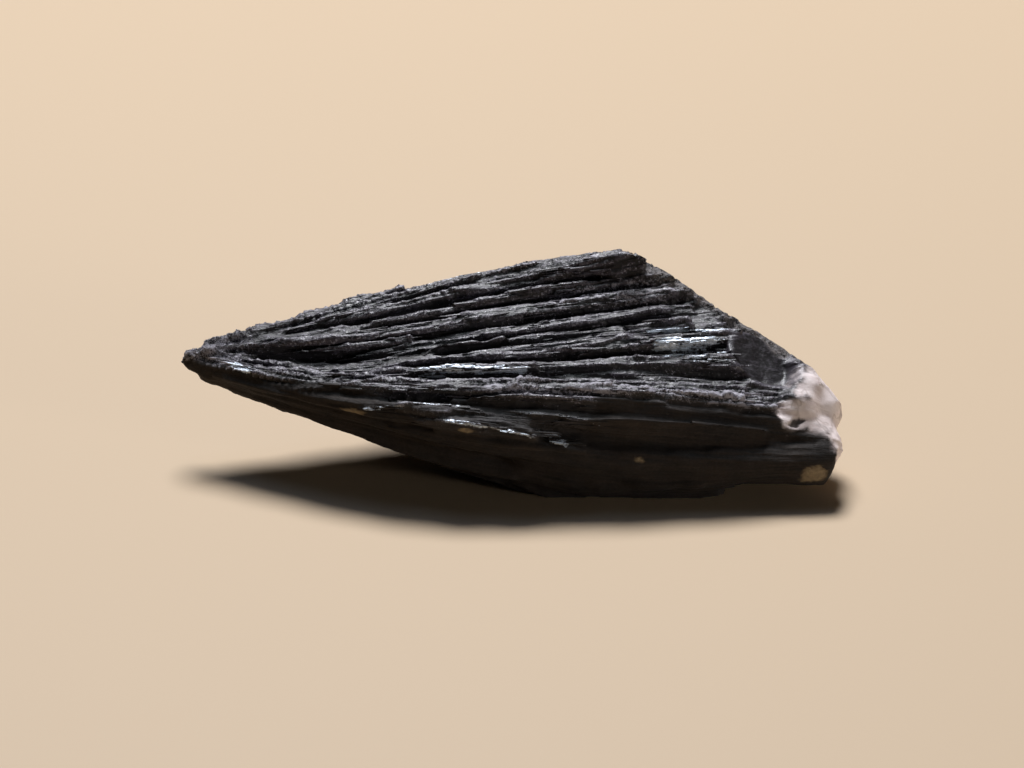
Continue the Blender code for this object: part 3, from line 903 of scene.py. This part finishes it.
def wornBody(mesh):
    points = pointsOf(mesh)
    edges = valuesOf(mesh.edges, "vertices", 2, int)
    nub = spotsAt(points, marks["nub"], 0.0)
    points = eased(points, edges, body["nubEasing"], nub)
    flow = fanFlow.at(points)
    zone = zonesAt(points, flow)
    calm = np.maximum(zone["flank"], 0.9 * zone["shelf"]) * (1 - zone["ground"])
    points = eased(points, edges, body["flankEasing"], calm)
    points = eased(points, edges, body["tipEasing"], zone["tip"])
    points, flat, rim = brokenFlat(underOutline(points))
    setPoints(mesh, points)
    zone["silverHighlight"] = zone["silverHighlight"] * (1 - flat)
    normals = normalsOf(mesh)
    crest = standingOut(points, edges, normals, body["bladeRounds"])
    broad = standingOut(points, edges, normals, body["broadRounds"])
    plain = (1 - 0.85 * flat) * (1 - 0.65 * zone["flank"]) * (1 - 0.8 * nub)
    # how far each point is lifted: sharper edges and deeper hollows, ridges and seams, swells on the flank
    lift = body["sharpen"] * crest + body["deepen"] * np.minimum(broad - 0.02, 0) * (1 - zone["end"])
    ridges = ridgesAt(flow) * plain * (1 - 0.7 * np.maximum(zone["tip"], zone["strip"]))
    lift += ridges * (1 - 0.4 * zone["end"]) * (1 - 0.75 * zone["valley"])
    lift += zone["seam"] * (1 - flat) * (1 - nub)
    swells = 0.09 * noiseAt(points, 1.7, 25, 2) + 0.10 * streaksAt(flow, 0.8, 9.0, 26)
    lift += swells * zone["flank"] * (1 - zone["ground"]) * (1 - nub)
    # then the crust with its pits, most of it on the crests
    rough = noiseAt(points, 0.5, 5, 3)
    ridge = smoothStep(crest, 0.0, 0.12)
    crusty = 0.3 + 0.7 * ridge + zone["tip"] + 0.5 * zone["strip"] + 0.5 * zone["frostAndHighlight"]
    crusty = np.clip(crusty, 0, 1.3) * plain
    crusty *= (0.6 + 0.8 * smoothStep(noiseAt(points, 3.0, 6), -0.3, 0.5)) * (1 - 0.8 * zone["valley"])
    lift += body["crustDepth"] * crusty * rough + 0.05 * nub * noiseAt(points, 1.1, 17, 2)
    pits = smoothStep(noiseAt(points, 0.8, 7), 0.35, 0.6)
    lift -= body["pitDepth"] * pits * crusty * (1 - zone["strip"])
    lift -= body["markDepth"] * zone["pit"]
    lift = np.where(zone["ground"] > 0, np.minimum(lift, 0.0) * (1 - 0.5 * zone["ground"]), lift)
    points = underOutline(insideBox(points + normals * lift[:, None]))
    setPoints(mesh, points)
    normals = normalsOf(mesh)
    crest = standingOut(points, edges, normals, body["edgeRounds"])
    worn = smoothStep(crest, -0.01, 0.09) * (1 - flat) + 0.30 * flat
    worn = np.maximum(worn, rim * 0.9)
    keepFinish(mesh, flow, zone, worn, crusty, -flat)
    mesh.shade_smooth()
    return {"points": points, "crest": crest, "zone": zone, "flat": flat, "nub": nub, "flow": flow,
            "facing": unit(smoothed(normals, edges, body["facingRounds"]))}


kyanite = kyaniteFinish()
wholeBody = fusedBody()
bodyFacts = wornBody(wholeBody)
print("worn body ready")


# Strewn pieces end inside the fan: they stay between these shares of the way along it.
strewing = {
    "start": 0.06,
    "stop": 0.97,
    "slack": 0.8,  # how much of the room to the nearer end a blade may take
    "shortest": 0.3,  # mm
}


def reachAt(along):
    # the longest that a blade with its middle there may be
    room = 2 * np.minimum(along - strewing["start"], strewing["stop"] - along)
    return (room * fanForm["length"] * strewing["slack"]).clip(strewing["shortest"]) * mm


def strewnPiece(name, what, makeShapes, facts, cover, facing):
    # one piece of many shapes, over a copy of the body that says where they may be and which way they lie
    surface = wholeBody.copy()
    keep(surface, "grain", bodyFacts["flow"]["grain"])
    keep(surface, "facing", facing)
    keep(surface, "cover", cover)
    keep(surface, "reach", reachAt(bodyFacts["flow"]["along"]))
    tree = scatterTree(what, makeShapes, facts["style"])
    mesh = strewn(name, surface, tree, {**facts["sizes"], "Finish": kyanite})
    # they get the same attributes as the body below them
    points = underOutline(insideBox(pointsOf(mesh)))
    setPoints(mesh, points)
    flow = fanFlow.at(points)
    gloss = np.zeros(len(points), np.float32)
    mesh.attributes["gloss"].data.foreach_get("value", gloss)
    full = np.ones(len(points))
    keepFinish(mesh, flow, zonesAt(points, flow), full * facts["crest"], full * facts["crust"], gloss)
    print(what + ":", trianglesOf(mesh), "triangles")
    return addObject(name, mesh)


# Thin blades with crisp edges lie on the body along its grain, mostly sunk into it.
thinBlades = {
    "sizes": {
        "Density": 1.6e6, "Shortest": 1.5 * mm, "Longest": 4.5 * mm, "Narrowest": 0.10 * mm,
        "Widest": 0.34 * mm, "Flatness": 0.8, "Sunk": 0.46, "Turn": (0.6, 0.012, 0.02), "Seed": 31,
    },
    "style": {"shapes": 4, "sides": 5, "segments": 3, "lay": 0.0, "topRadius": 0.20,
              "uneven": (0.04, 0.10, 0.10), "slant": 0.14, "seed": 20},
    "crest": 0.60,
    "crust": 0.2,
}


def bladePiece():
    zone = bodyFacts["zone"]
    along, around = bodyFacts["flow"]["along"], bodyFacts["flow"]["around"]
    inner = smoothStep(along, 0.10, 0.16) * smoothStep(along, 0.96, 0.92)
    bushy = smoothStep(noiseAt(bodyFacts["points"], 5.0, 9, 2), -0.15, 0.25) * 0.8 + 0.2
    cover = (1 - zone["ground"]) * (1 - bodyFacts["flat"]) * (1 - bodyFacts["nub"])
    cover *= 1 - 0.85 * zone["flank"]
    # none on the top edge and none on the back
    cover *= inner * bushy * smoothStep(turnFrom(around, 0), 0.25, 0.5) * (1 - 0.8 * zone["valley"])
    cover *= np.maximum(smoothStep(around, 6.9, 6.7), smoothStep(around, 8.3, 8.5))
    return strewnPiece("fan_blades", "thin blades", bladeShapes, thinBlades, cover, bodyFacts["facing"])


fanBlades = bladePiece()

# Flat glinting blades lie in the silvery patches, turned to throw the light above them towards the front.
glints = {
    "sizes": {
        "Density": 12.0e6, "Shortest": 0.5 * mm, "Longest": 2.2 * mm, "Narrowest": 0.12 * mm,
        "Widest": 0.26 * mm, "Flatness": 0.6, "Sunk": 0.1, "Turn": (0.30, 0.06, 0.03), "Seed": 71,
    },
    "style": {"shapes": 4, "sides": 4, "segments": 2, "lay": math.pi / 4, "topRadius": 0.36,
              "uneven": (0.03, 0.03, 0.02), "slant": 0.06, "seed": 20},
    "facing": (-0.10, -0.41, 0.90),
    "crest": 0.3,
    "crust": 0.0,
}


def glintPiece():
    silverHighlight, upward = bodyFacts["zone"]["silverHighlight"], bodyFacts["facing"][:, 2]
    cover = smoothStep(silverHighlight, 0.2, 0.8) * smoothStep(upward, -0.2, 0.3)
    facing = unit(bodyFacts["facing"] * 0.25 + np.array(glints["facing"]))
    return strewnPiece("fan_glints", "glinting blades", bladeShapes, glints, cover, facing)


fanGlints = glintPiece()

# Crumbs of crust sit at the tip, on the ridges, in the frosty patches and on the strip of rock.
crumbs = {
    "sizes": {
        "Density": 150e6, "Shortest": 0.07 * mm, "Longest": 0.22 * mm, "Narrowest": 0.07 * mm,
        "Widest": 0.20 * mm, "Flatness": 0.8, "Sunk": 0.25, "Turn": (3.0, 3.0, 3.0), "Seed": 51,
    },
    "style": {"shapes": 5, "uneven": (0.12, 0.12, 0.12), "seed": 20},
    "crest": 0.85,
    "crust": 1.0,
}


def crumbPiece():
    zone = bodyFacts["zone"]
    patchy = smoothStep(noiseAt(bodyFacts["points"], 1.6, 8, 2), 0.0, 0.6)
    ridge = smoothStep(bodyFacts["crest"], 0.02, 0.10)
    cover = 0.7 * zone["tip"] + 0.35 * zone["strip"] + 0.55 * ridge * patchy + 0.4 * zone["frostAndHighlight"] * patchy
    cover = np.clip(cover, 0, 1) * (1 - zone["ground"]) * (1 - bodyFacts["flat"]) * (1 - bodyFacts["nub"])
    cover *= (1 - 0.9 * zone["flank"]) * (1 - 0.9 * zone["valley"])
    return strewnPiece("fan_crust", "crumbs", crumbShapes, crumbs, cover, bodyFacts["facing"])


fanCrust = crumbPiece()


def bodyPiece():
    # the worn body with fewer triangles
    share = body["triangles"] / trianglesOf(wholeBody)
    mesh = modified(wholeBody, "DECIMATE", ratio=share, use_collapse_triangulate=True)
    mesh.name = "fan_body"
    mesh.materials.clear()
    mesh.materials.append(kyanite)
    print("body:", trianglesOf(mesh), "triangles")
    return addObject("fan_body", mesh)


fanBody = bodyPiece()

for piece in (fanBody, fanBlades, fanGlints, fanCrust):
    for label in ("grain", "facing", "cover", "reach", "gloss"):
        attribute = piece.data.attributes.get(label)
        if attribute:
            piece.data.attributes.remove(attribute)
    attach(piece, "root")
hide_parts("kyanite_fan")

# The studio: a plain pale floor, a soft key light from behind, a light above for the glints, a small low fill
# from the right, and a dim soft room. Lengths are in metres and powers in watts.
studio = {
    "floorColour": (0.54, 0.41, 0.265, 1),
    "floorRoughness": 0.65,
    "floorSize": 3.0,
    # each lamp: the way it comes from, its distance, its size, its power and its colour
    "lamps": {
        "key": ((-0.4, 4.2, 6.3), 0.7, 0.25, 7.2, (0.97, 0.965, 1.0)),
        "top": ((-0.15, 0.30, 1.0), 0.6, 0.22, 1.8, (0.86, 0.93, 1.0)),
        "fill": ((1.0, -0.55, 0.13), 0.8, 0.16, 1.35, (1.0, 0.95, 0.90)),
    },
    "roomColour": (0.85, 0.90, 1.0, 1),
    "roomStrength": 0.007,
}


def addFloor():
    mesh = bpy.data.meshes.new("floor")
    half = studio["floorSize"] / 2
    drop = -0.02 * mm  # just under the fan, so that the two faces never coincide
    corners = [(-half, -half, drop), (half, -half, drop), (half, half, drop), (-half, half, drop)]
    mesh.from_pydata(corners, [], [(0, 1, 2, 3)])
    material, shader = newMaterial("floor")
    shader.inputs["Base Color"].default_value = studio["floorColour"]
    shader.inputs["Roughness"].default_value = studio["floorRoughness"]
    mesh.materials.append(material)
    floor = addObject("floor", mesh)


def aim(thing, target, away, distance):
    # stands that far away and looks back at the target
    thing.location = Vector(target) + away * distance
    thing.rotation_euler = away.to_track_quat("Z", "Y").to_euler()


def addLamp(name, comesFrom, distance, size, power, colour):
    light = bpy.data.lights.new(name, "AREA")
    light.shape = "DISK"
    light.size = size
    light.energy = power
    light.color = colour
    lamp = addObject(name, light)
    aim(lamp, (cadBox[0] + cadBox[1]) / 2, Vector(comesFrom).normalized(), distance)
    return lamp


view = {
    "elevation": 25.0,  # degrees, and the rest in metres
    "distance": 0.30,
    "frameWidth": 0.065,
    "aim": (0.0, 0.0, 0.0052),
}


def addCamera():
    camera = bpy.data.cameras.new("camera")
    camera.sensor_width = 36.0
    camera.lens = camera.sensor_width * view["distance"] / view["frameWidth"]
    camera.clip_start = 0.01
    camera.clip_end = 20.0
    holder = addObject("camera", camera)
    elevation = math.radians(view["elevation"])
    aim(holder, view["aim"], Vector((0, -math.cos(elevation), math.sin(elevation))), view["distance"])
    bpy.context.scene.camera = holder


addFloor()
lamps = {name: addLamp(name, *facts) for name, facts in studio["lamps"].items()}
lamps["top"].visible_diffuse = False  # it only makes the glints, so the shadow stays deep
world = bpy.data.worlds.new("room")
world.use_nodes = True
world.node_tree.nodes["Background"].inputs["Color"].default_value = studio["roomColour"]
world.node_tree.nodes["Background"].inputs["Strength"].default_value = studio["roomStrength"]
bpy.context.scene.world = world
bpy.context.scene.view_settings.view_transform = "Standard"
addCamera()
print("studio ready")
